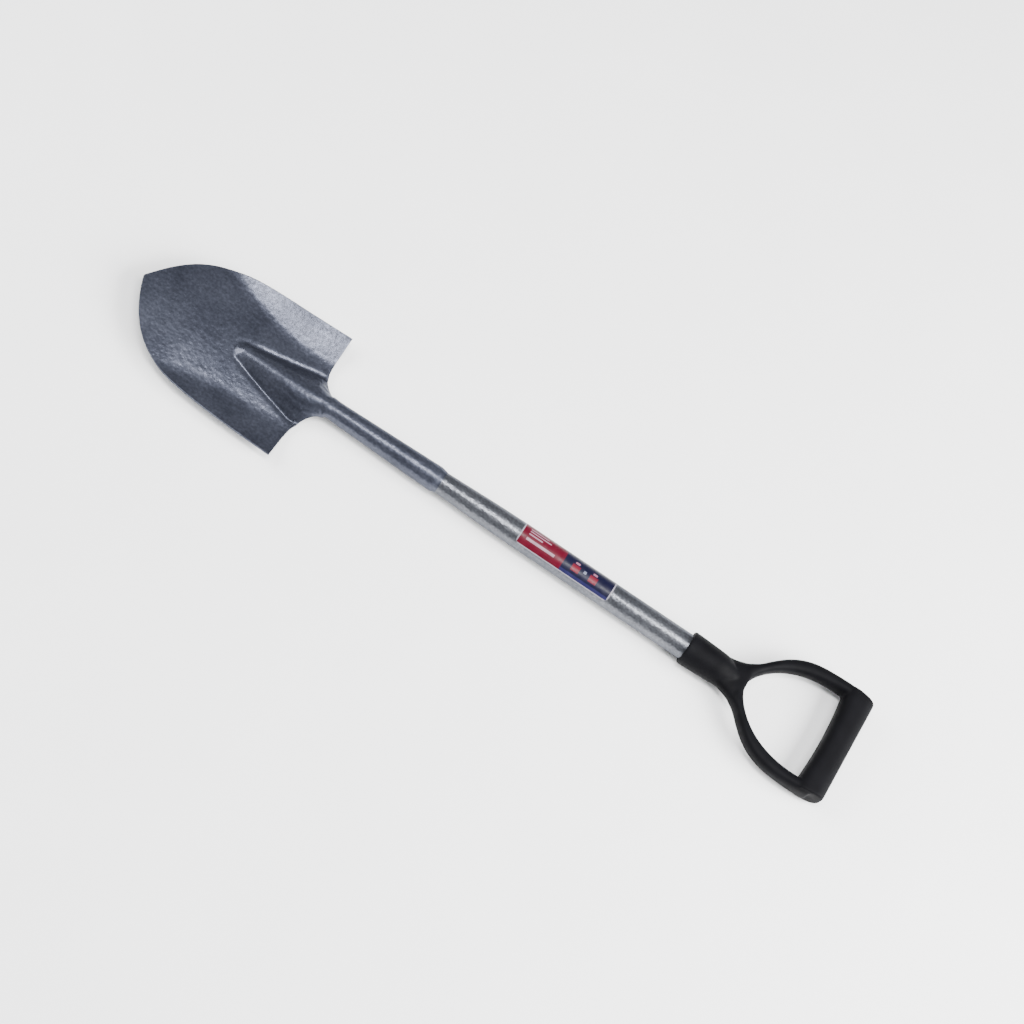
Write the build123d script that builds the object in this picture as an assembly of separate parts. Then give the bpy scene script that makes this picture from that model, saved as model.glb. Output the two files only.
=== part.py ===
from build123d import *
import math
import os

# A short digging spade: a pressed steel blade with a rolled socket, a steel tube shaft
# and a moulded D-shaped hand grip.
#
# Millimetres. +X runs along the shaft from the blade to the grip, +Y across the blade and
# +Z out of the blade's hollow front face. The origin is on the shaft's axis, at the middle
# of its plain length.

# ---- driving dimensions -------------------------------------------------------------

# shaft
shaft_radius = 14.0
shaft_wall = 1.5
plain_length = 194.0        # full-size tube between the swaged end and the grip
swage_length = 100.0        # taper from full size down to the socket's mouth
swage_radius = 11.75        # radius where the shaft enters the socket
socket_grip_depth = 90.0    # how far the shaft reaches into the socket
ferrule_depth = 45.0        # how far the shaft reaches into the grip

# socket, rolled from the same sheet as the blade
sheet = 2.0
socket_length = 155.5       # mouth to shoulder line
mouth_radius = 13.6
neck_radius = 10.7
neck_length = 28.0          # shoulder line to the end of the neck's fillet
rim_length = 8.0            # where the mouth is rolled in to the shaft
rim_wall = 0.6              # the sheet thins to this at the mouth
heel_start = 14.0           # shoulder line to the socket's closed tube
heel_length = 24.0          # its underside is cut back from here
heel_angle = 25
fit_gap = 0.05

# blade
blade_length = 205.0        # shoulder line to tip
blade_half = 80.0
side_taper = 0.0314         # half-width lost per millimetre along the sides
nose_power = 5.9            # how late the sides turn in to the point
tip_skew = 6.0              # the point leans this far to +Y
neck_fillet_y = 40.0
wall_slope = 0.24           # rise of the side walls where they leave the troughs
wall_curl = 0.0024          # and how fast they steepen
trough_depth = 12.4
trough_half = 42.0          # half the distance between the troughs at the shoulder
trough_spread = 22.0        # how much wider the troughs run before they reach the sides
trough_reach = 132.0        # and how far from the shoulder that happens
trough_round = 3.0          # rounds the corner between a trough and its wall
flat_start = 150.0          # distance from the shoulder where the dish has run out
crown_height = 3.5          # the middle of the blade bulges forward
crown_extra = 1.5
shoulder_step = 1.0         # the shoulder's corners stand this far ahead of its middle
tip_blunt = 0.5
section_spans = 20          # points on each side of the middle of a section
frog_length = 89.0          # the ridge that carries the socket into the blade
frog_nose = 10.0
frog_half = 8.5
frog_neck = 15.0            # its half-width where it meets the socket
frog_flare = 0.255          # half-width gained per millimetre towards the socket
frog_round = 1.3            # how round the frog's crest is
crest_below_neck = 0.8      # the crest starts this far below the neck's top
crest_fall = 8.4            # and falls this much on its way to the frog's nose

# grip
grip_length = 194.0
ferrule_radius = 18.4
ferrule_length = 42.0
arm_depth = 19.0
opening_length = 91.0       # crown of the opening to the hand bar
opening_half = 52.5
bow_length = 96.0
bow_half = 66.6
arm_power = 2.95            # how straight the arms run before they curve over to the bar
flare_length = 36.0         # the web's flare between the ferrule and the arms
flare_height = 13.0
flare_round = 5.0
ferrule_nose = 18.0         # length of the cone that runs from the ferrule into the web
bar_round = 11.0
bow_end_length = 110.0      # draws the bow in past its widest place, towards the bar's end
bar_width = 32.0
bar_depth = 28.0
bar_half = 62.0
bow_reach = 40.0            # hand bar's far side to the bow's widest place
edge_round = 3.5

# fastenings and label
rivet_radius = 2.4
rivet_head = 4.2
rivet_head_height = 1.6
screw_radius = 2.0
screw_head = 4.0
screw_head_height = 2.2
screw_reach = 6.0
screw_slot = 0.9
screw_recess_radius = 4.4
screw_recess = 2.6          # sinks the screw's head below the ferrule's skin
label_length = 109.0
label_start = 93.0          # socket mouth to the label
label_thickness = 0.15
label_low = -60.0           # degrees about the shaft, from +Z towards +Y
label_high = 90.0

# ---- stations along the shaft -------------------------------------------------------

mouth_x = -plain_length / 2 - swage_length
shoulder_x = mouth_x - socket_length
ferrule_x = plain_length / 2
grip_end_x = ferrule_x + grip_length
bar_x = grip_end_x - bar_width
bow_widest_x = grip_end_x - bow_reach
bow_start_x = ferrule_x + ferrule_length - 4


# ---- the blade's sheet --------------------------------------------------------------

def half_width(d):
    """Half the blade's width, d millimetres from the shoulder towards the tip."""
    return (blade_half - side_taper * d) * (1 - (d / blade_length) ** nose_power)


def middle_line(d):
    """Sideways lean of the blade's middle, all of it near the point."""
    return tip_skew * (d / blade_length) ** 20


def smooth_max(a, b, k):
    """The larger of two heights, with the corner between them rounded over k."""
    return max(a, b) + max(k - abs(a - b), 0) ** 2 / (4 * k)


def dish_height(d, y):
    """Front face of the blade without its frog: a crowned middle between two sloping walls."""
    along = max(d, 0)
    trough_y = trough_half + trough_spread * (along / trough_reach) ** 2.4
    run_out = min(along / flat_start, 1) ** 1.4
    trough_z = -trough_depth * math.cos(math.pi / 2 * run_out) ** 2
    crown = crown_height + crown_extra * math.sin(math.pi * along / blade_length)
    middle = trough_z + crown * (1 - (y / trough_y) ** 2)
    beyond = abs(y) - trough_y
    wall = trough_z + wall_slope * beyond + wall_curl * max(beyond, 0) ** 2
    return smooth_max(middle, wall, trough_round)


def smooth_step(value, low, high):
    """0 below low and 1 above high, with a smooth rise between them."""
    share = min(max((value - low) / (high - low), 0), 1)
    return share * share * (3 - 2 * share)


def frog_share(d, y):
    """0 outside the frog, 1 along its crest."""
    v = frog_length - d
    half = frog_half + frog_flare * max(v, frog_nose)
    half += (frog_neck - half) * smooth_step(-d, -8, neck_length)
    reach = math.hypot(max(frog_nose - v, 0), y) / half
    return math.cos(math.pi / 2 * min(reach, 1)) ** frog_round


def crest_height(d):
    """Height of the frog's crest, from the top of the neck down into the blade."""
    along = (d + neck_length) / (frog_length + neck_length)
    return neck_radius - crest_below_neck - crest_fall * max(along, 0) ** frog_round


def face_height(d, y):
    """Front face of the pressed sheet."""
    base = dish_height(d, y)
    return base + (crest_height(d) - base) * frog_share(d, y)


def section(d, half, middle):
    """Closed section across the sheet, d millimetres from the shoulder."""
    x = shoulder_x - d
    step = 0.05             # for the slopes, which keep the sheet's thickness even
    front = []
    back = []
    for i in range(-section_spans, section_spans + 1):
        y = middle + half * i / section_spans
        z = face_height(d, y)
        slope_x = (face_height(d + step, y) - z) / step
        slope_y = (face_height(d, y + step) - z) / step
        front.append((x, y, z))
        back.append((x, y, z - sheet * math.sqrt(1 + slope_x ** 2 + slope_y ** 2)))
    return make_face(Wire([
        Spline(*front),
        Line(front[-1], back[-1]),
        Spline(*reversed(back)),
        Line(back[0], front[0]),
    ]))


def neck_half(d):
    """Half-width of the neck, where d is 0 at the shoulder and negative towards the socket."""
    share = 1 + d / neck_length
    return neck_radius + neck_fillet_y * (1 - math.sqrt(1 - share ** 2))


def make_sheet():
    """The pressed sheet, lofted from the neck over the shoulder to the tip."""
    outline = []
    for i in range(9):
        d = neck_length * (i / 8 - 1)
        outline.append((d, neck_half(d)))
    reach = blade_length - tip_blunt - shoulder_step
    for i in range(21):
        d = shoulder_step + reach * math.sin(math.pi / 2 * i / 20)
        outline.append((d, half_width(d)))
    return loft([section(d, half, middle_line(max(d, 0))) for d, half in outline], ruled=True)


def socket_radius(x):
    """Outside radius of the socket between its neck and its rim."""
    share = (x - (shoulder_x + neck_length)) / (socket_length - neck_length - rim_length)
    return neck_radius + (mouth_radius - neck_radius) * share


def socket_tube():
    """The rolled socket, open at both ends, with its lower end cut back on the underside."""
    start_x = shoulder_x + heel_start
    rim_x = mouth_x - rim_length
    bore = swage_radius + fit_gap
    outline = Polyline(
        (start_x, socket_radius(start_x) - sheet),
        (start_x, socket_radius(start_x)),
        (rim_x, mouth_radius),
        (mouth_x - rim_length / 3, mouth_radius - 0.5),
        (mouth_x, bore + rim_wall),
        (mouth_x, bore),
        (rim_x, mouth_radius - sheet - 0.1),
        close=True,
    )
    tube = revolve(make_face(outline), Axis.X)
    heel_size = 4 * mouth_radius
    heel = Box(heel_size, heel_size, heel_size, align=(Align.MAX, Align.CENTER, Align.MAX))
    heel = Pos(start_x + heel_length, 0, sheet) * Rot(0, heel_angle, 0) * heel
    return tube - heel


def make_blade():
    rivet_x = mouth_x - socket_grip_depth / 2
    hole = Pos(rivet_x, 0, -mouth_radius) * Cylinder(rivet_radius, 2 * mouth_radius)
    return make_sheet() + socket_tube() - hole


# ---- shaft --------------------------------------------------------------------------

def shaft_profile(inset):
    """Outside of the shaft as (x, radius) points, drawn in by inset."""
    end_x = mouth_x - socket_grip_depth
    end_radius = socket_radius(end_x) - sheet - fit_gap
    return [
        (end_x, end_radius - inset),
        (mouth_x - rim_length, mouth_radius - sheet - 0.1 - fit_gap - inset),
        (mouth_x, swage_radius - inset),
        (mouth_x + 10, swage_radius - inset),
        (mouth_x + swage_length * 0.7, shaft_radius - 0.45 - inset),
        (mouth_x + swage_length, shaft_radius - inset),
        (ferrule_x + ferrule_depth, shaft_radius - inset),
    ]


def make_shaft():
    outline = Polyline(*shaft_profile(0), *reversed(shaft_profile(shaft_wall)), close=True)
    tube = revolve(make_face(outline), Axis.X)
    for x, radius in ((mouth_x - socket_grip_depth / 2, rivet_radius),
                      (ferrule_x + ferrule_length / 2, screw_radius)):
        tube -= Pos(x, 0, -shaft_radius) * Cylinder(radius, 2 * shaft_radius)
    return tube


# ---- grip ---------------------------------------------------------------------------

def bow_outer(x):
    """Half-width of the bow's outline: a flare off the ferrule that runs into the arm's long curve."""
    before = max(bow_widest_x - x, 0) / bow_length
    arm = bow_half * (1 - min(before, 1) ** arm_power)
    flare_share = (x - bow_start_x) / flare_length
    flare = ferrule_radius - 2 + flare_height * min(flare_share, 1.25) ** 2
    beyond = max(x - bow_widest_x, 0) / bow_end_length
    return smooth_max(arm, flare, flare_round) * math.sqrt(1 - beyond ** 2)


def bow_opening(x):
    """Half-width of the hand opening: blunt at its crown, nearly parallel at the hand bar."""
    before = min((bar_x - x) / opening_length, 1)
    return opening_half * (1 - before ** 2.4) ** 0.62


def mirrored(points):
    return [(x, -y) for x, y in reversed(points)]


def bow_face():
    """Plan of the bow and its hand opening."""
    end_x = bar_x + bar_width / 2
    spans = 12
    side = [bow_start_x + (end_x - bow_start_x) * i / spans for i in range(spans + 1)]
    side = [(x, bow_outer(x)) for x in side]
    other_side = mirrored(side)
    outer = make_face(Wire([
        Spline(*side),
        Line(side[-1], other_side[0]),
        Spline(*other_side),
        Line(other_side[-1], side[0]),
    ]))
    turns = [math.pi / 2 * i / 8 for i in range(9)]
    rim = [bar_x - opening_length * math.sin(turn) for turn in turns]
    rim = [(x, bow_opening(x)) for x in rim]
    rim += mirrored(rim)[1:]
    opening = make_face(Wire([Spline(*rim), Line(rim[-1], rim[0])]))
    return outer - opening


def make_grip():
    bow = extrude(bow_face(), amount=arm_depth / 2, both=True)
    rims = bow.faces().filter_by(Axis.Z).edges()
    bow = fillet(rims.filter_by_position(Axis.X, ferrule_x + ferrule_length, bar_x - 1), edge_round)
    bar_section = Plane.XZ * RectangleRounded(bar_width, bar_depth, bar_round)
    bar = Pos(bar_x + bar_width / 2, 0, 0) * extrude(bar_section, amount=bar_half, both=True)
    ferrule_profile = Polyline(
        (ferrule_x, 0),
        (ferrule_x, ferrule_radius - 0.8),
        (ferrule_x + 0.8, ferrule_radius),
        (ferrule_x + ferrule_length, ferrule_radius - 1.4),
        (ferrule_x + ferrule_length + ferrule_nose, arm_depth / 2 - 1),
        (ferrule_x + ferrule_length + ferrule_nose, 0),
        close=True,
    )
    ferrule = revolve(make_face(ferrule_profile), Axis.X)
    bore = Pos(ferrule_x + ferrule_depth / 2, 0, 0) * Rot(0, 90, 0) * Cylinder(
        shaft_radius + fit_gap, ferrule_depth)
    pilot = Pos(ferrule_x + ferrule_length / 2, 0, -ferrule_radius) * Cylinder(
        screw_radius, ferrule_radius)
    recess = Pos(ferrule_x + ferrule_length / 2, 0, -ferrule_radius) * Cylinder(
        screw_recess_radius, 2 * screw_recess)
    return bow + bar + ferrule - bore - pilot - recess


# ---- fastenings and label -----------------------------------------------------------

def domed_pin(x, surface_radius, shank_radius, shank_length, head_radius, head_height):
    """A pin driven in from the underside, with a domed head on the surface."""
    shank = Pos(x, 0, -surface_radius) * Cylinder(
        shank_radius, shank_length, align=(Align.CENTER, Align.CENTER, Align.MIN))
    dome_radius = (head_radius ** 2 + head_height ** 2) / (2 * head_height)
    dome = Pos(x, 0, -surface_radius + dome_radius - head_height) * Sphere(dome_radius)
    half_space = Pos(x, 0, -surface_radius) * Box(
        3 * head_radius, 3 * head_radius, 2 * head_height, align=(Align.CENTER, Align.CENTER, Align.MAX))
    return shank + (dome & half_space)


def make_socket_rivet():
    x = mouth_x - socket_grip_depth / 2
    return domed_pin(x, socket_radius(x + rivet_head), rivet_radius - fit_gap, sheet + shaft_wall + 1.2,
                     rivet_head, rivet_head_height)


def make_grip_screw():
    x = ferrule_x + ferrule_length / 2
    seat_radius = ferrule_radius - screw_recess
    pin = domed_pin(x, seat_radius, screw_radius - fit_gap, screw_reach, screw_head, screw_head_height)
    slot_depth = 1.0
    slot_z = -seat_radius - screw_head_height
    for angle in (0, 90):
        pin -= Pos(x, 0, slot_z) * Rot(0, 0, angle) * Box(1.1 * screw_head, screw_slot, 2 * slot_depth)
    return pin


def make_label():
    """A thin sticker wrapped round part of the shaft."""
    outside = shaft_radius + fit_gap + label_thickness
    ring = Circle(outside) - Circle(shaft_radius + fit_gap)
    reach = 3 * shaft_radius
    low = math.radians(label_low)
    high = math.radians(label_high)
    middle = (low + high) / 2
    corners = [(0, 0)] + [(reach * math.cos(a), reach * math.sin(a)) for a in (low, middle, high)]
    section = ring & make_face(Polyline(*corners, close=True))
    # the section's +X becomes the part's +Z and its +Y stays across the blade
    start = Plane(origin=(mouth_x + label_start, 0, 0), x_dir=(0, 0, 1), z_dir=(-1, 0, 0))
    return extrude(start * section, amount=-label_length)


# ---- write every node ---------------------------------------------------------------

nodes = {
    "blade": make_blade,
    "shaft": make_shaft,
    "grip": make_grip,
    "socket_rivet": make_socket_rivet,
    "grip_screw": make_grip_screw,
    "label": make_label,
}

os.makedirs("parts", exist_ok=True)
for name, make in nodes.items():
    export_step(make(), f"parts/{name}.step")
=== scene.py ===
import math

import bmesh
import bpy
import numpy as np
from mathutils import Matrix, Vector, noise


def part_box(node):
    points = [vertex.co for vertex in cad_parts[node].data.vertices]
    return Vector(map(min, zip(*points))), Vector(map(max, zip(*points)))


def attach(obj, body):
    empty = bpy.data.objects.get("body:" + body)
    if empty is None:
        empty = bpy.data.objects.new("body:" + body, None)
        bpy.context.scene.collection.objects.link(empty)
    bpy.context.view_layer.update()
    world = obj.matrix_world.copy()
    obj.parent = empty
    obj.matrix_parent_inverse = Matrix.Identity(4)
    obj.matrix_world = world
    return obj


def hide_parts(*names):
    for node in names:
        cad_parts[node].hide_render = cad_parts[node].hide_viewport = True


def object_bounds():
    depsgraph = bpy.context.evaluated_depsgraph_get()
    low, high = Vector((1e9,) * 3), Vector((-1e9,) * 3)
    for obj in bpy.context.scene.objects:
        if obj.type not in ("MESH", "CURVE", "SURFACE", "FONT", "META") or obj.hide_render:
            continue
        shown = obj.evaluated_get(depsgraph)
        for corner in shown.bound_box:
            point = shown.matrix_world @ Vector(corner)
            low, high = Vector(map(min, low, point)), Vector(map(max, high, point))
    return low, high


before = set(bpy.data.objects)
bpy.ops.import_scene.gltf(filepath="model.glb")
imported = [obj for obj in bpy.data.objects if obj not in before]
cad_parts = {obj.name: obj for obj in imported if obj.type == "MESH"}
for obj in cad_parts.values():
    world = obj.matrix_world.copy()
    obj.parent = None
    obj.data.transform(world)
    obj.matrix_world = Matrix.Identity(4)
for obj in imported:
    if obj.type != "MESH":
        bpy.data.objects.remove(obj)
cad_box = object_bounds()

MM = 0.001

# ---- places and sizes in millimetres, from the frame's boxes where they give them -----

def node_box(node):
    """Lowest and highest corner of a node's CAD shape, in millimetres."""
    return [Vector(corner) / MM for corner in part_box(node)]


blade_low, blade_high = node_box("blade")
shaft_low, shaft_high = node_box("shaft")
grip_low, grip_high = node_box("grip")
label_low, label_high = node_box("label")
rivet_low, rivet_high = node_box("socket_rivet")
screw_low, screw_high = node_box("grip_screw")

MOUTH_X = blade_high.x
TIP_X = blade_low.x
FERRULE_X = grip_low.x
GRIP_END_X = grip_high.x
SHAFT_R = shaft_high.y
SOCKET_R = blade_high.z
FERRULE_R = grip_high.z

SHEET = 2.0
SOCKET_LENGTH = 155.5
SHOULDER_X = MOUTH_X - SOCKET_LENGTH
RIM_LENGTH = 8.0
RIM_WALL = 0.5                 # the mouth is rolled in to this far outside the shaft
NECK_R = 10.7
SWAGE_R = 11.75
SWAGE_LENGTH = 100.0
SWAGE_CURVE = 1.15             # how the swaged taper rounds off
TAIL_TAPER = 2.2               # radius lost over a further swage length, inside the socket
TAIL_CUT = 30.0                # the tube starts this far inside its CAD shape's lower end
SHAFT_WALL = 1.5

# ---- the blade's shape: the CAD model's formulas, with a pressed groove and pleats ----

TIP_BLUNT = 0.5
WALL_LEAN = 0.8                # the walls lean, so their lower edge stands out this much
BLADE_LENGTH = SHOULDER_X - TIP_X + TIP_BLUNT
BLADE_HALF = blade_high.y - WALL_LEAN
SIDE_TAPER = 0.0314
NOSE_POWER = 5.9
TIP_SKEW = 6.0
TIP_SKEW_POWER = 20            # how close to the point the skew begins
NECK_LENGTH = 28.0
NECK_OPENS = -38.0             # the rolled tube begins to open here, from the shoulder
NECK_FLAT = -10.0              # and is laid out flat here
NECK_SEAM = 0.988              # share of the turn that the rolled tube fills
NECK_RUN_ON = -0.1             # the cone runs on past the neck by a tenth of its length
BLADE_COLUMNS = 90             # mesh columns on each side of the blade's middle
NECK_COLUMNS = 57              # how many of them carry on into the neck
BLADE_ROWS = 170
EDGE_ROUND = 0.35              # the sheet's cut edge
NECK_FILLET_Y = BLADE_HALF * NECK_COLUMNS / BLADE_COLUMNS - NECK_R

TROUGH_HALF = 42.0             # half the distance between the troughs at the shoulder
TROUGH_SPREAD = 22.0           # how much wider the troughs run towards the tip
TROUGH_REACH = 132.0           # and how far from the shoulder that happens
TROUGH_CURVE = 2.4
TROUGH_DEPTH = 12.4
TROUGH_ROUND = 3.0             # rounds the corner between a trough and its wall
FLAT_START = 150.0             # distance from the shoulder where the dish has run out
FLAT_CURVE = 1.4
CROWN_HEIGHT = 3.5
CROWN_EXTRA = 1.5
WALL_SLOPE = 0.24
WALL_CURL = 0.0024

FROG_LENGTH = 89.0             # the ridge that carries the socket into the blade
FROG_NOSE = 10.0
FROG_HALF = 8.5
FROG_NECK = 15.0               # its half-width where it meets the socket
FROG_FLARE = 0.255             # half-width gained per millimetre towards the socket
FROG_BLEND = 8.0               # it starts to narrow to the neck this far past the shoulder
FROG_ROUND = 1.3               # how round its crest is
CREST_BELOW_NECK = 0.8
CREST_FALL = 8.4

PRESS_START = -24.0            # the groove and the pleats begin here, on the neck
GROOVE_DEPTH = 1.5
GROOVE_LOSS = 0.9              # the groove gets this much shallower at the frog's nose
GROOVE_LOSS_START = 28.0       # measured back from the nose
GROOVE_LOSS_END = 6.0
GROOVE_OFFSET = 1.2            # its bottom runs this far outside the frog's edge
GROOVE_WIDTH = 2.8
PLEAT_HEIGHT = 0.4
PLEAT_FULL = -8.0
PLEAT_END = 45.0
PLEAT_PLACE = 0.62             # share of the way from the crest to the frog's edge
PLEAT_SPREAD = 0.2
PLEAT_WAVES = 3.4


def half_width(d):
    """Half the blade's width, d millimetres from the shoulder towards the tip."""
    return (BLADE_HALF - SIDE_TAPER * d) * (1 - (d / BLADE_LENGTH) ** NOSE_POWER)


def neck_half(d):
    """Half-width of the neck's outline, d from minus NECK_LENGTH up to 0 at the shoulder."""
    share = min(max(1 + d / NECK_LENGTH, 0), 1)
    return NECK_R + NECK_FILLET_Y * (1 - math.sqrt(1 - share ** 2))


def smooth_max(a, b, k):
    """The larger of two heights, with the corner between them rounded over k."""
    return max(a, b) + max(k - abs(a - b), 0) ** 2 / (4 * k)


def smooth_step(value, low, high):
    """0 below low and 1 above high, with a smooth rise between them."""
    share = min(max((value - low) / (high - low), 0), 1)
    return share * share * (3 - 2 * share)


def dish_height(d, y):
    """The crowned middle of the blade between its two sloping side walls."""
    along = max(d, 0)
    trough_y = TROUGH_HALF + TROUGH_SPREAD * (along / TROUGH_REACH) ** TROUGH_CURVE
    run_out = min(along / FLAT_START, 1) ** FLAT_CURVE
    trough_z = -TROUGH_DEPTH * math.cos(math.pi / 2 * run_out) ** 2
    crown = CROWN_HEIGHT + CROWN_EXTRA * math.sin(math.pi * along / BLADE_LENGTH)
    middle = trough_z + crown * (1 - (y / trough_y) ** 2)
    beyond = abs(y) - trough_y
    wall = trough_z + WALL_SLOPE * beyond + WALL_CURL * max(beyond, 0) ** 2
    return smooth_max(middle, wall, TROUGH_ROUND)


def frog_half(d):
    """Half-width of the frog ridge, narrowed where it runs into the neck."""
    half = FROG_HALF + FROG_FLARE * max(FROG_LENGTH - d, FROG_NOSE)
    return half + (FROG_NECK - half) * smooth_step(-d, -FROG_BLEND, NECK_LENGTH)


def crest_height(d):
    """Height of the frog's crest, from the top of the neck down into the blade."""
    along = (d + NECK_LENGTH) / (FROG_LENGTH + NECK_LENGTH)
    return NECK_R - CREST_BELOW_NECK - CREST_FALL * max(along, 0) ** FROG_ROUND


def groove_depth(d, outside):
    """Depth of the groove that borders the frog, at a distance outside the frog's edge."""
    loss = smooth_step(d, FROG_LENGTH - GROOVE_LOSS_START, FROG_LENGTH - GROOVE_LOSS_END)
    depth = GROOVE_DEPTH - GROOVE_LOSS * loss
    border = outside - GROOVE_OFFSET
    return depth * math.exp(-(border / GROOVE_WIDTH) ** 2) * smooth_step(d, PRESS_START, 0)


def pleat_height(d, reach):
    """Height of the small pleats along the frog's flanks, near the shoulder."""
    pleats = smooth_step(d, PRESS_START, PLEAT_FULL) * (1 - smooth_step(d, 0, PLEAT_END))
    flank = math.exp(-((reach - PLEAT_PLACE) / PLEAT_SPREAD) ** 2)
    wave = math.cos(2 * math.pi * (reach - PLEAT_PLACE) * PLEAT_WAVES)
    return PLEAT_HEIGHT * pleats * flank * wave


def face_height(d, y):
    """Front face of the pressed sheet: dish, frog ridge, groove and pleats."""
    base = dish_height(d, y)
    half = frog_half(d)
    reach = math.hypot(max(FROG_NOSE - (FROG_LENGTH - d), 0), y) / half
    share = math.cos(math.pi / 2 * min(reach, 1)) ** FROG_ROUND
    height = base + (crest_height(d) - base) * share
    height -= groove_depth(d, (reach - 1) * half)
    return height + pleat_height(d, reach)


# ---- mesh helpers -------------------------------------------------------------------

def new_piece(name, vertices, faces):
    """A smooth-shaded mesh object from millimetre points."""
    mesh = bpy.data.meshes.new(name)
    mesh.from_pydata([Vector(v) * MM for v in vertices], [], faces)
    mesh.validate()
    piece = bpy.data.objects.new(name, mesh)
    bpy.context.collection.objects.link(piece)
    for polygon in mesh.polygons:
        polygon.use_smooth = True
    return piece


def grid_faces(rows, columns, closed=False):
    """Quads of a grid of rows by columns, its last column joined to the first if closed."""
    faces = []
    spans = columns if closed else columns - 1
    for i in range(rows - 1):
        for j in range(spans):
            k = (j + 1) % columns
            near, far = i * columns, (i + 1) * columns
            faces.append((near + j, near + k, far + k, far + j))
    return faces


def lathe(name, profile, segments, closed=True):
    """A body turned about the X axis from (x, radius) points, its ends joined if closed."""
    vertices = []
    for x, radius in profile:
        for j in range(segments):
            angle = 2 * math.pi * j / segments
            vertices.append((x, radius * math.sin(angle), radius * math.cos(angle)))
    faces = grid_faces(len(profile), segments, closed=True)
    if closed:
        last = (len(profile) - 1) * segments
        for j in range(segments):
            k = (j + 1) % segments
            faces.append((last + j, last + k, k, j))
    return new_piece(name, vertices, faces)


def face_up(piece):
    """Turns an open sheet over if its middle face looks down."""
    polygons = piece.data.polygons
    if polygons[len(polygons) // 2].normal.z < 0:
        piece.data.flip_normals()


def apply_modifiers(piece):
    """Turns a piece's modifiers into its mesh."""
    graph = bpy.context.evaluated_depsgraph_get()
    mesh = bpy.data.meshes.new_from_object(piece.evaluated_get(graph))
    piece.modifiers.clear()
    piece.data = mesh
    for polygon in mesh.polygons:
        polygon.use_smooth = True


def face_outward(piece):
    """Turns every face's normal to the outside."""
    shape = bmesh.new()
    shape.from_mesh(piece.data)
    bmesh.ops.recalc_face_normals(shape, faces=shape.faces)
    shape.to_mesh(piece.data)
    shape.free()


# ---- blade and socket ---------------------------------------------------------------

def socket_radius(x):
    """Outside radius of the rolled socket, with its mouth rolled in to the shaft."""
    share = (x - (SHOULDER_X + NECK_LENGTH)) / (SOCKET_LENGTH - NECK_LENGTH - RIM_LENGTH)
    radius = NECK_R + (SOCKET_R - NECK_R) * min(max(share, NECK_RUN_ON), 1)
    rim = smooth_step(x, MOUTH_X - RIM_LENGTH, MOUTH_X)
    return radius - (SOCKET_R - SWAGE_R - RIM_WALL) * rim


def neck_row(x):
    """Points across the sheet ahead of the shoulder: a closed tube that opens towards the blade."""
    d = SHOULDER_X - x
    opening = smooth_step(d, NECK_OPENS, NECK_FLAT)
    radius = socket_radius(x)
    half = neck_half(d)
    points = []
    for j in range(2 * NECK_COLUMNS + 1):
        s = j / NECK_COLUMNS - 1
        angle = NECK_SEAM * math.pi * s
        tube = (radius * math.sin(angle), radius * math.cos(angle))
        flat = (s * half, face_height(d, s * half) if opening > 0 else 0)
        points.append([tube[k] + (flat[k] - tube[k]) * opening for k in range(2)])
    widest = max(y for y, z in points)
    target = half if d > -NECK_LENGTH else radius
    return [(x, y * target / widest, z) for y, z in points]


def blade_row(d):
    """Points across the blade, d millimetres from the shoulder towards the tip."""
    half = half_width(d)
    lean = TIP_SKEW * (d / BLADE_LENGTH) ** TIP_SKEW_POWER
    row = []
    for j in range(2 * BLADE_COLUMNS + 1):
        y = half * (j / BLADE_COLUMNS - 1)
        row.append((SHOULDER_X - d, y + lean, face_height(d, y)))
    return row


def neck_stations():
    """Where the mesh rows of the socket and neck stand, from the mouth to the shoulder."""
    rim = [MOUTH_X - RIM_LENGTH * (1 - math.cos(math.pi / 2 * i / 8)) for i in range(9)]
    socket = list(np.linspace(MOUTH_X - RIM_LENGTH - 2, SHOULDER_X + 40, 40))
    neck = list(np.linspace(SHOULDER_X + 39, SHOULDER_X + 0.6, 60))
    return rim + socket + neck


def blade_stations():
    """Distances of the blade's mesh rows from the shoulder, closest together at the tip."""
    reach = BLADE_LENGTH - TIP_BLUNT
    return [reach * math.sin(math.pi / 2 * i / BLADE_ROWS) for i in range(BLADE_ROWS + 1)]


def sheet_faces(neck_count, blade_count):
    """Faces of both grids, and the strip that joins the neck to the blade's middle columns."""
    neck_width = 2 * NECK_COLUMNS + 1
    blade_width = 2 * BLADE_COLUMNS + 1
    start = neck_count * neck_width
    faces = grid_faces(neck_count, neck_width)
    for j in range(neck_width - 1):
        a = start - neck_width + j
        b = start + BLADE_COLUMNS - NECK_COLUMNS + j
        faces.append((a, a + 1, b + 1, b))
    faces += [tuple(start + k for k in face) for face in grid_faces(blade_count, blade_width)]
    return faces


def make_blade():
    """The pressed blade and its rolled socket, as one sheet with a real thickness."""
    neck = [neck_row(x) for x in neck_stations()]
    blade = [blade_row(d) for d in blade_stations()]
    vertices = [point for row in neck + blade for point in row]
    piece = new_piece("blade_sheet", vertices, sheet_faces(len(neck), len(blade)))
    face_up(piece)
    thickness = piece.modifiers.new("sheet", "SOLIDIFY")
    thickness.thickness = SHEET * MM
    thickness.offset = -1
    thickness.use_even_offset = True
    rim = piece.modifiers.new("rim", "BEVEL")
    rim.width = EDGE_ROUND * MM
    rim.segments = 2
    rim.limit_method = "ANGLE"
    rim.angle_limit = math.radians(60)
    apply_modifiers(piece)
    return piece


# ---- shaft --------------------------------------------------------------------------

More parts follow.
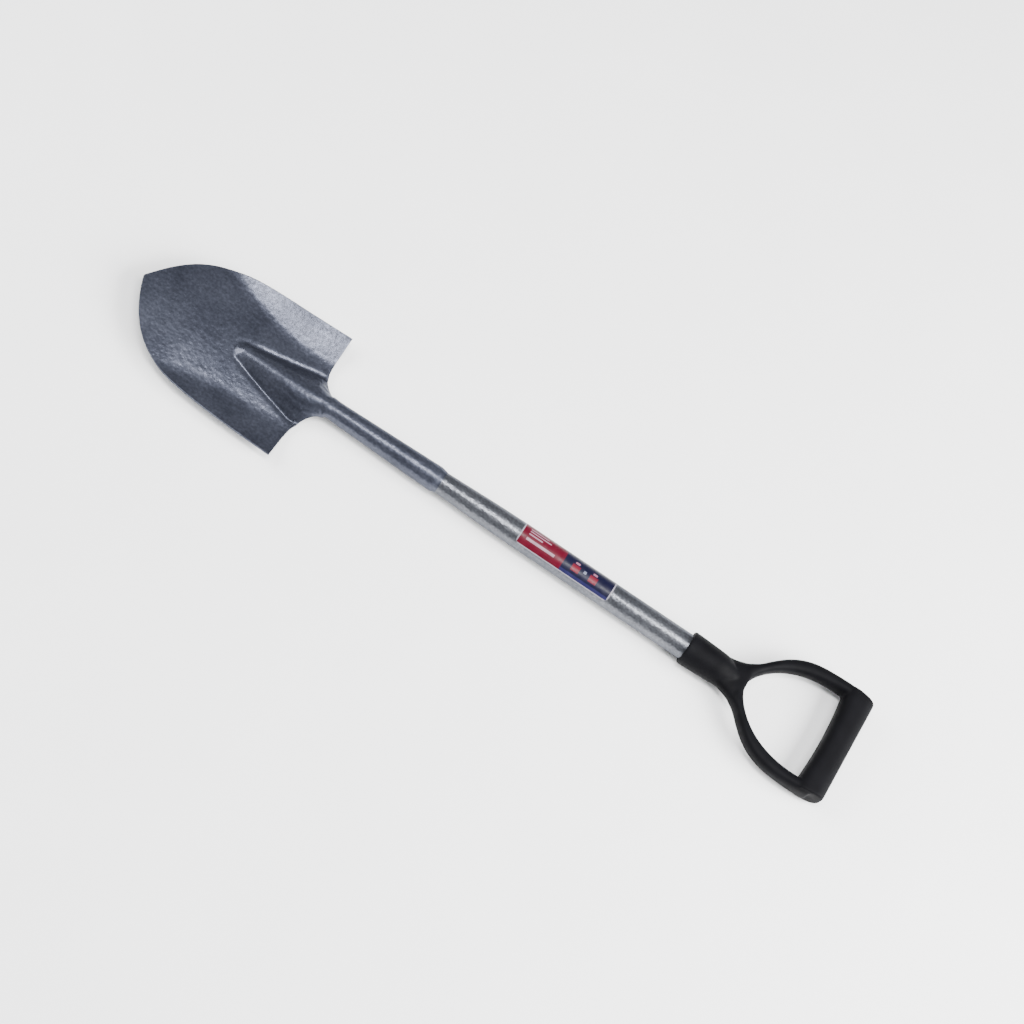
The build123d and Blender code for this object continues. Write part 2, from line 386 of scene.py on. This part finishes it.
def shaft_radius(x):
    """Outside radius of the tube, tapered towards the socket."""
    along = (x - MOUTH_X) / SWAGE_LENGTH
    if along < 0:
        return SWAGE_R + along * TAIL_TAPER
    rise = math.sin(math.pi / 2 * min(along, 1)) ** SWAGE_CURVE
    return SWAGE_R + (SHAFT_R - SWAGE_R) * rise


def make_shaft():
    """The steel tube, hollow, from inside the socket to inside the grip."""
    stations = list(np.linspace(shaft_low.x + TAIL_CUT, shaft_high.x, 90))
    outer = [(x, shaft_radius(x)) for x in stations]
    inner = [(x, shaft_radius(x) - SHAFT_WALL) for x in reversed(stations)]
    piece = lathe("shaft_tube", outer + inner, segments=128)
    face_outward(piece)
    return piece


# ---- grip ---------------------------------------------------------------------------

BAR_WIDTH = 32.0
BAR_DEPTH = 28.0
BAR_HALF = 64.6
BAR_X = GRIP_END_X - BAR_WIDTH
BAR_SQUARE = 3.2               # how square the bar's section is; 2 would be an ellipse
BAR_EDGE = 1.6                 # rounds the bar's two ends
BAR_HOLLOW = 3.0               # its inner side is hollowed for the hand
BAR_HOLLOW_HALF = 52.0
BAR_CENTRE_X = BAR_X + BAR_WIDTH / 2

ARM_DEPTH = 19.0
ARM_SQUARE = 2.6
ARM_DEEPEN = 3.0               # the arms grow deeper into the bar, this much on each side
ARC_ROWS = 48                  # mesh rows from the bow's crown to its widest place
END_ROWS = 8                   # and on into the bar

FERRULE_LENGTH = 42.0
FERRULE_BORE = 45.0
FERRULE_CHAMFER = 0.8
FERRULE_FALL = 1.4             # its radius is this much less where its nose begins
FIT_GAP = 0.05
NOSE_OVERLAP = 6.0             # the nose begins this far before the ferrule's end
NOSE_LENGTH = 34.0
NOSE_ROWS = 12
NOSE_INSET = 1.5               # the nose ends this far inside the web
AXIS_GAP = 0.01                # a turned profile stops this close to its axis

BOW_REACH = 40.0               # hand bar's far side to the bow's widest place
BOW_WIDEST_X = GRIP_END_X - BOW_REACH
BOW_LENGTH = 96.0
BOW_HALF = 66.6
BOW_END_LENGTH = 110.0         # draws the bow in past its widest place, towards the bar's end
ARM_POWER = 2.95               # how straight the arms run before they curve over to the bar
FLARE_LENGTH = 36.0            # the web's flare between the ferrule and the arms
FLARE_OVERLAP = 4.0
FLARE_HEIGHT = 13.0
FLARE_LIMIT = 1.25
FLARE_INSET = 2.0
FLARE_ROUND = 5.0
OPENING_LENGTH = 91.0          # crown of the hand opening to the hand bar
OPENING_HALF = 52.5
OPENING_POWER = 2.4            # how parallel the opening's sides are
OPENING_BLUNT = 0.62           # how blunt its crown is
WEB_OVERLAP = 14.0             # the web begins this far inside the ferrule
WEB_ROWS = 32
WEB_SQUARE = 3.0

GRIP_VOXEL = 0.8               # size of the grid that joins the members into one skin
RECESS_R = 4.4
RECESS_DEPTH = 2.6
RECESS_CUTTER = 8.0


def superellipse(angle, a, b, power):
    """A point on a rounded rectangle of half-sizes a and b."""
    c, s = math.cos(angle), math.sin(angle)
    across = a * math.copysign(abs(c) ** (2 / power), c)
    up = b * math.copysign(abs(s) ** (2 / power), s)
    return across, up


def tube_along(name, path, section, around=40):
    """A closed tube: path gives (point, sideways), section two half-sizes and a power."""
    vertices = []
    for i, (point, sideways) in enumerate(path):
        a, b, power = section(i / (len(path) - 1))
        for j in range(around):
            across, up = superellipse(2 * math.pi * j / around, a, b, power)
            vertices.append(Vector(point) + across * Vector(sideways) + Vector((0, 0, up)))
    faces = grid_faces(len(path), around, closed=True)
    faces.append(tuple(range(around)))
    faces.append(tuple(range(len(vertices) - around, len(vertices))))
    piece = new_piece(name, vertices, faces)
    face_outward(piece)
    return piece


def bow_outer(x):
    """Half-width of the bow's outline: a flare off the ferrule that runs into the arm's curve."""
    before = max(BOW_WIDEST_X - x, 0) / BOW_LENGTH
    arm = BOW_HALF * (1 - min(before, 1) ** ARM_POWER)
    flare_share = (x - FERRULE_X - FERRULE_LENGTH + FLARE_OVERLAP) / FLARE_LENGTH
    flare = FERRULE_R - FLARE_INSET + FLARE_HEIGHT * min(flare_share, FLARE_LIMIT) ** 2
    beyond = max(x - BOW_WIDEST_X, 0) / BOW_END_LENGTH
    return smooth_max(arm, flare, FLARE_ROUND) * math.sqrt(1 - beyond ** 2)


def bow_opening(x):
    """Half-width of the hand opening, from its blunt crown to the hand bar."""
    before = min(max(BAR_X - x, 0) / OPENING_LENGTH, 1)
    return OPENING_HALF * (1 - before ** OPENING_POWER) ** OPENING_BLUNT


def make_arm(side):
    """One arm of the bow, between its outer outline and the hand opening."""
    path = []
    widths = []
    last = ARC_ROWS + END_ROWS
    for i in range(last + 1):
        back = OPENING_LENGTH * math.sin(math.pi / 2 * (1 - min(i / ARC_ROWS, 1)))
        into_bar = max(i - ARC_ROWS, 0) / END_ROWS
        outer_x = BOW_WIDEST_X - back + (BAR_CENTRE_X - GRIP_END_X + BOW_REACH) * into_bar
        inner_x = BAR_X - back + (BAR_CENTRE_X - BAR_X) * into_bar
        outer = Vector((outer_x, side * bow_outer(outer_x), 0))
        inner = Vector((inner_x, side * bow_opening(inner_x), 0))
        across = outer - inner
        path.append(((outer + inner) / 2, across.normalized()))
        widths.append(across.length / 2)

    def section(share):
        deepen = ARM_DEEPEN * smooth_step(share, 0.72, 0.98)
        return widths[round(share * last)], ARM_DEPTH / 2 + deepen, ARM_SQUARE

    return tube_along("arm", path, section)


def make_ferrule():
    """The round end that holds the shaft, with its blind bore."""
    end = FERRULE_X + FERRULE_LENGTH
    bore = SHAFT_R + FIT_GAP
    nose_x = end - NOSE_OVERLAP
    nose_r = FERRULE_R - FERRULE_FALL
    profile = [
        (FERRULE_X + FERRULE_BORE, AXIS_GAP),
        (FERRULE_X + FERRULE_BORE, bore),
        (FERRULE_X, bore),
        (FERRULE_X, FERRULE_R - FERRULE_CHAMFER),
        (FERRULE_X + FERRULE_CHAMFER, FERRULE_R),
        (FERRULE_X + 14, FERRULE_R - 0.4),
        (nose_x, nose_r),
    ]
    for i in range(1, NOSE_ROWS + 1):
        fall = smooth_step(i / NOSE_ROWS, 0, 1)
        radius = nose_r - (nose_r - ARM_DEPTH / 2 + NOSE_INSET) * fall
        profile.append((nose_x + NOSE_LENGTH * i / NOSE_ROWS, radius))
    profile.append((nose_x + NOSE_LENGTH, AXIS_GAP))
    piece = lathe("ferrule", profile, segments=72, closed=False)
    face_outward(piece)
    return piece


def make_web():
    """The flat web that spreads from the ferrule into the two arms."""
    start = FERRULE_X + FERRULE_LENGTH - WEB_OVERLAP
    end = BAR_X - OPENING_LENGTH
    path = []
    widths = []
    for i in range(WEB_ROWS + 1):
        x = start + (end - start) * i / WEB_ROWS
        flared = x > FERRULE_X + FERRULE_LENGTH - FLARE_OVERLAP
        path.append(((x, 0, 0), (0, 1, 0)))
        widths.append(bow_outer(x) if flared else FERRULE_R - FLARE_INSET)

    def section(share):
        return widths[round(share * WEB_ROWS)], ARM_DEPTH / 2, WEB_SQUARE

    return tube_along("web", path, section)


def shape_bar(bar):
    """Draws the bar's ends in with the bow's outline and hollows its inner side."""
    for vertex in bar.data.vertices:
        x, y = vertex.co.x / MM, vertex.co.y / MM
        beyond = (x - BOW_WIDEST_X) / BOW_END_LENGTH
        vertex.co.y *= math.sqrt(1 - max(beyond, 0) ** 2)
        inward = max(BAR_CENTRE_X - x, 0) / (BAR_WIDTH / 2)
        vertex.co.x += BAR_HOLLOW * MM * inward * max(1 - (y / BAR_HOLLOW_HALF) ** 2, 0)


def make_bar():
    """The hand bar, with rounded edges and ends."""
    path = []
    for i in range(33):
        along = math.sin(math.pi / 2 * (i / 16 - 1))
        path.append(((BAR_CENTRE_X, BAR_HALF * along, 0), (1, 0, 0)))

    def section(share):
        end = abs(math.sin(math.pi / 2 * (2 * share - 1))) * BAR_HALF
        near_end = max(0, (end - BAR_HALF + BAR_EDGE) / BAR_EDGE)
        pull = BAR_EDGE * (1 - math.sqrt(max(0, 1 - near_end ** 2)))
        return BAR_WIDTH / 2 - pull, BAR_DEPTH / 2 - pull, BAR_SQUARE

    bar = tube_along("bar", path, section, around=64)
    shape_bar(bar)
    return bar


def join(pieces, name):
    """One new piece from several, which are removed."""
    shape = bmesh.new()
    for piece in pieces:
        shape.from_mesh(piece.data)
    mesh = bpy.data.meshes.new(name)
    shape.to_mesh(mesh)
    shape.free()
    for piece in pieces:
        bpy.data.objects.remove(piece)
    joined = bpy.data.objects.new(name, mesh)
    bpy.context.collection.objects.link(joined)
    return joined


def make_grip():
    """The moulded grip: its members joined into one skin, their junctions blended."""
    parts = [make_ferrule(), make_web(), make_bar()]
    parts += [make_arm(side) for side in (-1, 1)]
    grip = join(parts, "grip_moulding")
    remesh = grip.modifiers.new("skin", "REMESH")
    remesh.mode = "VOXEL"
    remesh.voxel_size = GRIP_VOXEL * MM
    soften = grip.modifiers.new("soften", "SMOOTH")
    soften.factor = 0.5
    soften.iterations = 24
    apply_modifiers(grip)
    cut_screw_recess(grip)
    return grip


def cut_screw_recess(grip):
    """Sinks a round hole for the screw's head into the ferrule's underside."""
    shape = bmesh.new()
    radius = RECESS_R * MM
    depth = RECESS_CUTTER * MM
    bmesh.ops.create_cone(shape, cap_ends=True, segments=48, radius1=radius, radius2=radius, depth=depth)
    mesh = bpy.data.meshes.new("recess")
    shape.to_mesh(mesh)
    shape.free()
    cutter = bpy.data.objects.new("recess", mesh)
    middle = (screw_low + screw_high) / 2
    cutter.location = Vector((middle.x, 0, -FERRULE_R + RECESS_DEPTH - RECESS_CUTTER / 2)) * MM
    bpy.context.collection.objects.link(cutter)
    bpy.context.view_layer.update()
    cut = grip.modifiers.new("recess", "BOOLEAN")
    cut.object = cutter
    cut.operation = "DIFFERENCE"
    cut.solver = "EXACT"
    apply_modifiers(grip)
    bpy.data.objects.remove(cutter)


# ---- rivet, screw and label ---------------------------------------------------------

PIN_SEGMENTS = 48
SHANK_SHARE = 0.55             # shank's radius as a share of the head's
SLOT_DEPTH = 0.9
SLOT_HALF = 0.45
SLOT_REACH = 2.4


def pin_profile(head, head_height, length):
    """(radius, depth) points down a pin: a domed head, then its shank."""
    profile = [(0.0, 0.0)]
    for i in range(1, 9):
        angle = math.pi / 2 * i / 8
        profile.append((head * math.sin(angle), head_height * (1 - math.cos(angle))))
    shank = head * SHANK_SHARE
    return profile + [(shank, head_height + 0.02), (shank, length), (0.0, length)]


def slot_sink(x, y, radius):
    """Depth of the screw's cross slot at a point of its head."""
    in_slot = min(abs(x), abs(y)) < SLOT_HALF and radius < SLOT_REACH
    return SLOT_DEPTH if in_slot else 0.0


def make_pin(name, low, high, head_height, slot=False):
    """A domed head with its shank, standing on the underside."""
    middle = (low + high) / 2
    profile = pin_profile((high.x - low.x) / 2, head_height, high.z - low.z)
    vertices = []
    for radius, depth in profile:
        slotted = slot and depth < head_height * 0.75
        for j in range(PIN_SEGMENTS):
            angle = 2 * math.pi * j / PIN_SEGMENTS
            x, y = radius * math.cos(angle), radius * math.sin(angle)
            sink = slot_sink(x, y, radius) if slotted else 0.0
            vertices.append((middle.x + x, y, low.z + max(depth, sink)))
    piece = new_piece(name, vertices, grid_faces(len(profile), PIN_SEGMENTS, closed=True))
    shape = bmesh.new()
    shape.from_mesh(piece.data)
    bmesh.ops.remove_doubles(shape, verts=shape.verts, dist=0.01 * MM)
    bmesh.ops.recalc_face_normals(shape, faces=shape.faces)
    shape.to_mesh(piece.data)
    shape.free()
    return piece


LABEL_LOW = -60.0              # degrees about the shaft, from +Z towards +Y
LABEL_HIGH = 90.0
LABEL_THICKNESS = 0.12
LABEL_R = SHAFT_R + LABEL_THICKNESS
LABEL_LENGTH = label_high.x - label_low.x
LABEL_ARC = math.radians(LABEL_HIGH - LABEL_LOW) * LABEL_R
LABEL_CORNER = 5.0
LABEL_COLUMNS = 61
LABEL_LIFT = 0.03              # the film isn't quite smooth on the tube


def make_label():
    """A thin printed sticker with rounded corners, wrapped on the shaft; its UVs are millimetres."""
    rows = [LABEL_CORNER * (1 - math.cos(math.pi / 2 * i / 8)) for i in range(9)]
    rows += list(np.linspace(LABEL_CORNER + 2, LABEL_LENGTH - LABEL_CORNER - 2, 50))
    rows += [LABEL_LENGTH - r for r in reversed(rows[:9])]
    vertices = []
    flat = []
    for along in rows:
        corner = max(0, LABEL_CORNER - min(along, LABEL_LENGTH - along))
        inset = LABEL_CORNER - math.sqrt(max(0, LABEL_CORNER ** 2 - corner ** 2))
        for j in range(LABEL_COLUMNS):
            up = inset + (LABEL_ARC - 2 * inset) * j / (LABEL_COLUMNS - 1)
            angle = math.radians(LABEL_LOW) + up / LABEL_R
            lift = LABEL_R + LABEL_LIFT * noise.noise(Vector((along * 0.08, up * 0.1, 3.0)))
            vertices.append((label_low.x + along, lift * math.sin(angle), lift * math.cos(angle)))
            flat.append((along, up))
    piece = new_piece("label_film", vertices, grid_faces(len(rows), LABEL_COLUMNS))
    face_up(piece)
    layer = piece.data.uv_layers.new(name="print")
    for loop in piece.data.loops:
        layer.data[loop.index].uv = flat[loop.vertex_index]
    film = piece.modifiers.new("film", "SOLIDIFY")
    film.thickness = LABEL_THICKNESS * MM
    film.offset = -1
    apply_modifiers(piece)
    return piece


# ---- materials ----------------------------------------------------------------------

class Nodes:
    """A material's node tree, with short calls for the nodes that are used here."""

    def __init__(self, name):
        self.material = bpy.data.materials.new(name)
        self.material.use_nodes = True
        self.tree = self.material.node_tree
        self.shader = self.tree.nodes["Principled BSDF"]

    def add(self, kind, **settings):
        """A new node with its settings."""
        node = self.tree.nodes.new(kind)
        for key, value in settings.items():
            setattr(node, key, value)
        return node

    def link(self, source, target):
        self.tree.links.new(source, target)

    def place(self, scale=(1, 1, 1)):
        """Object coordinates in millimetres times scale."""
        coordinates = self.add("ShaderNodeTexCoord")
        mapping = self.add("ShaderNodeMapping")
        mapping.inputs["Scale"].default_value = [s / MM for s in scale]
        self.link(coordinates.outputs["Object"], mapping.inputs["Vector"])
        return mapping.outputs["Vector"]

    def noise(self, vector, size, detail=3.0, roughness=0.5):
        """Noise whose features are about size millimetres across."""
        texture = self.add("ShaderNodeTexNoise")
        texture.inputs["Scale"].default_value = 1 / size
        texture.inputs["Detail"].default_value = detail
        texture.inputs["Roughness"].default_value = roughness
        self.link(vector, texture.inputs["Vector"])
        return texture.outputs["Fac"]

    def cells(self, vector, size):
        """Soft-edged cells about size millimetres across."""
        texture = self.add("ShaderNodeTexVoronoi", feature="SMOOTH_F1")
        texture.inputs["Scale"].default_value = 1 / size
        self.link(vector, texture.inputs["Vector"])
        return texture.outputs["Distance"]

    def ramp(self, value, stops):
        """A colour ramp from (position, colour) stops."""
        node = self.add("ShaderNodeValToRGB")
        while len(node.color_ramp.elements) < len(stops):
            node.color_ramp.elements.new(0.5)
        for element, (position, colour) in zip(node.color_ramp.elements, stops):
            element.position = position
            element.color = (*colour, 1)
        self.link(value, node.inputs["Fac"])
        return node.outputs["Color"]

    def map(self, value, low, high, to_low, to_high):
        """Carries the range low to high over to another range."""
        node = self.add("ShaderNodeMapRange")
        for socket, number in zip(node.inputs[1:5], (low, high, to_low, to_high)):
            socket.default_value = number
        self.link(value, node.inputs[0])
        return node.outputs[0]

    def math(self, operation, a, b):
        """Arithmetic on two sources, each a number or an output."""
        node = self.add("ShaderNodeMath", operation=operation)
        for socket, source in zip(node.inputs, (a, b)):
            if isinstance(source, (int, float)):
                socket.default_value = source
            else:
                self.link(source, socket)
        return node.outputs[0]

    def mix(self, share, a, b, blend="MIX"):
        """Blends two colours, each a tuple or an output."""
        node = self.add("ShaderNodeMix", data_type="RGBA", blend_type=blend)
        if isinstance(share, (int, float)):
            node.inputs[0].default_value = share
        else:
            self.link(share, node.inputs[0])
        for socket, source in zip((node.inputs[6], node.inputs[7]), (a, b)):
            if isinstance(source, tuple):
                socket.default_value = (*source, 1)
            else:
                self.link(source, socket)
        return node.outputs[2]

    def bump(self, height, distance, strength):
        """A normal from a height, distance in millimetres."""
        node = self.add("ShaderNodeBump")
        node.inputs["Strength"].default_value = strength
        node.inputs["Distance"].default_value = distance * MM
        self.link(height, node.inputs["Height"])
        return node.outputs["Normal"]


def hammered_enamel(name, dark, light, metallic, rough, dimple):
    """Hammer-finish enamel: shallow dimples, flake sparkle and slow changes of tone."""
    n = Nodes(name)
    place = n.place()
    cells = n.cells(place, dimple)
    fine = n.noise(place, dimple * 0.45, 2.0)
    slow = n.noise(place, 45.0, 3.0)
    height = n.math("ADD", n.math("MULTIPLY", cells, 0.8), n.math("MULTIPLY", fine, 0.35))
    tone = n.ramp(slow, [(0.3, dark), (0.72, light)])
    flake = n.map(n.noise(place, dimple * 0.7, 2.0), 0.35, 0.7, 0.80, 1.18)
    colour = n.mix(1.0, tone, flake, "MULTIPLY")
    n.link(colour, n.shader.inputs["Base Color"])
    scuff = n.noise(n.place((0.25, 1, 1)), 3.5, 4.0, 0.7)
    n.link(n.map(scuff, 0.3, 0.8, rough - 0.05, rough + 0.1), n.shader.inputs["Roughness"])
    n.shader.inputs["Metallic"].default_value = metallic
    n.shader.inputs["Coat Weight"].default_value = 0.15
    n.shader.inputs["Coat Roughness"].default_value = 0.25
    n.shader.inputs["Specular Tint"].default_value = (0.35, 0.36, 0.38, 1)
    n.link(n.bump(height, 0.65, 0.6), n.shader.inputs["Normal"])
    return n.material


def black_plastic():
    """Moulded black plastic with a fine spark-eroded grain."""
    n = Nodes("black_plastic")
    place = n.place()
    grain = n.noise(place, 0.55, 3.0, 0.6)
    slow = n.noise(place, 30.0, 3.0)
    tone = n.ramp(slow, [(0.3, (0.0014, 0.0014, 0.002)), (0.75, (0.003, 0.003, 0.004))])
    n.link(tone, n.shader.inputs["Base Color"])
    rubbed = n.noise(place, 9.0, 4.0, 0.65)
    n.link(n.map(rubbed, 0.3, 0.75, 0.55, 0.7), n.shader.inputs["Roughness"])
    n.shader.inputs["Specular IOR Level"].default_value = 0.06
    n.link(n.bump(grain, 0.08, 0.45), n.shader.inputs["Normal"])
    return n.material


def plated_steel(name, tone, rough):
    """Dull plating over lightly brushed steel."""
    n = Nodes(name)
    place = n.place()
    brushed = n.noise(n.place((0.3, 2.0, 0.3)), 0.8, 3.0)
    darker = tuple(0.7 * c for c in tone)
    n.link(n.mix(n.noise(place, 3.0), tone, darker), n.shader.inputs["Base Color"])
    n.shader.inputs["Metallic"].default_value = 0.9
    n.link(n.map(brushed, 0.3, 0.7, rough, rough + 0.15), n.shader.inputs["Roughness"])
    n.link(n.bump(brushed, 0.03, 0.4), n.shader.inputs["Normal"])
    return n.material


PRINT_RED = (0.066, 0.0015, 0.009)
PRINT_BLUE = (0.003, 0.003, 0.015)
PRINT_EDGE_BLUE = (0.012, 0.011, 0.048)
PRINT_BORDER = (0.20, 0.19, 0.22)
PRINT_BAR = (0.22, 0.13, 0.16)
PRINT_BLOCK = (0.095, 0.003, 0.012)
PRINT_CAP = (0.20, 0.09, 0.13)
PRINT_DOT = (0.12, 0.13, 0.18)
BORDER_WIDTH = 1.3


def print_shapes(length, arc):
    """The print's rectangles, each over the one before: (x0, x1, y0, y1, colour)."""
    right = length - BORDER_WIDTH
    top = arc - BORDER_WIDTH
    panel = length * 0.47
    shapes = [
        (BORDER_WIDTH, right, BORDER_WIDTH, top, PRINT_RED),
        (panel, right, BORDER_WIDTH, top, PRINT_BLUE),
        (panel, right, BORDER_WIDTH, 5.0, PRINT_EDGE_BLUE),
    ]
    for x1, y0, y1 in ((41, 8.5, 11.2), (24, 14.5, 16.2), (33, 18.0, 19.4), (29, 21.0, 22.4)):
        shapes.append((8, x1, y0, y1, PRINT_BAR))
    for centre in (length * 0.60, length * 0.79):
        shapes.append((centre - 4.5, centre + 4.5, 8.0, 15.5, PRINT_BLOCK))
        shapes.append((centre - 2.5, centre + 2.5, 16.5, 19.0, PRINT_CAP))
    dot = length * 0.695
    shapes.append((dot - 1.6, dot + 1.6, 12.0, 15.0, PRINT_DOT))
    return shapes


def printed_film():
    """The label's print: a red and a dark blue panel inside a pale border, with plain bars."""
    n = Nodes("printed_film")
    uv = n.add("ShaderNodeUVMap", uv_map="print")
    split = n.add("ShaderNodeSeparateXYZ")
    n.link(uv.outputs["UV"], split.inputs[0])
    along, up = split.outputs[0], split.outputs[1]

    def between(value, low, high):
        """1 between two limits, 0 outside them."""
        above = n.math("GREATER_THAN", value, low)
        return n.math("MULTIPLY", above, n.math("LESS_THAN", value, high))

    colour = PRINT_BORDER
    for x0, x1, y0, y1, tone in print_shapes(LABEL_LENGTH, LABEL_ARC):
        inside = n.math("MULTIPLY", between(along, x0, x1), between(up, y0, y1))
        colour = n.mix(inside, colour, tone)
    rub = n.map(n.noise(n.place((0.4, 1, 1)), 5.0, 4.0, 0.7), 0.3, 0.75, 0.8, 1.12)
    n.link(n.mix(1.0, colour, rub, "MULTIPLY"), n.shader.inputs["Base Color"])
    n.link(n.map(n.noise(n.place(), 6.0, 3.0), 0.3, 0.7, 0.3, 0.45), n.shader.inputs["Roughness"])
    n.shader.inputs["Specular IOR Level"].default_value = 0.25
    n.link(n.bump(n.noise(n.place(), 1.5, 2.0), 0.04, 0.4), n.shader.inputs["Normal"])
    return n.material


def floor_material():
    """A dull pale floor with a barely uneven tone."""
    n = Nodes("pale_floor")
    slow = n.noise(n.place(), 160.0, 3.0)
    tone = n.ramp(slow, [(0.3, (0.90, 0.90, 0.90)), (0.7, (0.93, 0.93, 0.93))])
    n.link(tone, n.shader.inputs["Base Color"])
    n.shader.inputs["Roughness"].default_value = 0.9
    n.shader.inputs["Specular IOR Level"].default_value = 0.1
    return n.material


# ---- camera, floor and light --------------------------------------------------------

VIEW_DISTANCE = 2500.0
VIEW_ALONG = 75.1              # the camera looks this far from the socket's mouth
VIEW_ACROSS = 16.8             # and this far to +Y of the shaft
VIEW_SLANT = -0.019            # and stands a little towards the blade's end
SENSOR_WIDTH = 36.0
IMAGE_WIDTH = 1024             # with this lens a millimetre at the target fills a pixel
LEAN = math.radians(27.0)      # the camera stands this far to the -Y side of straight above
DROP = math.radians(33.87)     # the shaft runs down to the right by this angle


def make_camera():
    """Looks down at the spade lying on its back, the blade at the upper left."""
    target = Vector((MOUTH_X + VIEW_ALONG, VIEW_ACROSS, 0))
    place = target + VIEW_DISTANCE * Vector((VIEW_SLANT, -math.sin(LEAN), math.cos(LEAN)))
    back = (place - target).normalized()
    along = Vector((1, 0, 0))
    along = (along - along.dot(back) * back).normalized()
    across = back.cross(along)
    right = math.cos(DROP) * along + math.sin(DROP) * across
    up = back.cross(right)
    camera = bpy.data.objects.new("camera", bpy.data.cameras.new("camera"))
    camera.data.lens = SENSOR_WIDTH * VIEW_DISTANCE / IMAGE_WIDTH
    camera.data.sensor_width = SENSOR_WIDTH
    camera.data.clip_end = 50
    matrix = camera.matrix_world.copy()
    for column, axis in enumerate((right, up, back)):
        for row in range(3):
            matrix[row][column] = axis[row]
    for row in range(3):
        matrix[row][3] = place[row] * MM
    camera.matrix_world = matrix
    bpy.context.collection.objects.link(camera)
    bpy.context.scene.camera = camera


def make_floor():
    """A wide plain floor that the spade lies on."""
    low = cad_box[0][2]
    bpy.ops.mesh.primitive_plane_add(size=12, location=(0, 0, low))
    floor = bpy.context.object
    floor.name = "floor"
    floor.data.materials.append(floor_material())


def area_light(name, place, size, power):
    """A soft rectangular light that faces the spade, in metres and watts."""
    light = bpy.data.objects.new(name, bpy.data.lights.new(name, "AREA"))
    light.data.shape = "RECTANGLE"
    light.data.size, light.data.size_y = size
    light.data.energy = power
    light.location = place
    light.rotation_euler = (Vector((0, 0, 0)) - Vector(place)).to_track_quat("-Z", "Y").to_euler()
    bpy.context.collection.objects.link(light)


def make_lights():
    """A long key light overhead, a soft light beyond each end, and a dim cool surround."""
    area_light("key", (0, -0.38, 2.6), (1.6, 0.5), 90)
    area_light("blade_end", (-2.3, -0.1, 1.5), (1.8, 1.8), 100)
    area_light("grip_end", (2.3, -0.1, 1.5), (2.2, 2.2), 400)
    world = bpy.data.worlds.new("studio")
    bpy.context.scene.world = world
    world.use_nodes = True
    background = world.node_tree.nodes["Background"]
    background.inputs["Color"].default_value = (0.9, 0.93, 1.0, 1)
    background.inputs["Strength"].default_value = 0.24


# ---- put the spade together ---------------------------------------------------------

def dress(piece, node, material):
    """One visible piece stands for one node, in its finish."""
    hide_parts(node)
    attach(piece, "root")
    piece.data.materials.clear()
    piece.data.materials.append(material)


make_camera()
make_floor()
make_lights()

blade_enamel = hammered_enamel(
    "blade_enamel",
    dark=(0.042, 0.046, 0.064),
    light=(0.075, 0.081, 0.108),
    metallic=0.78,
    rough=0.34,
    dimple=4.2,
)
shaft_enamel = hammered_enamel(
    "shaft_enamel",
    dark=(0.090, 0.095, 0.110),
    light=(0.128, 0.133, 0.148),
    metallic=0.86,
    rough=0.32,
    dimple=3.4,
)
dress(make_blade(), "blade", blade_enamel)
dress(make_shaft(), "shaft", shaft_enamel)
dress(make_grip(), "grip", black_plastic())
rivet = make_pin("rivet_pin", rivet_low, rivet_high, head_height=1.6)
dress(rivet, "socket_rivet", plated_steel("rivet_steel", (0.36, 0.37, 0.42), 0.4))
screw = make_pin("screw_pin", screw_low, screw_high, head_height=2.2, slot=True)
dress(screw, "grip_screw", plated_steel("screw_steel", (0.55, 0.55, 0.57), 0.3))
dress(make_label(), "label", printed_film())
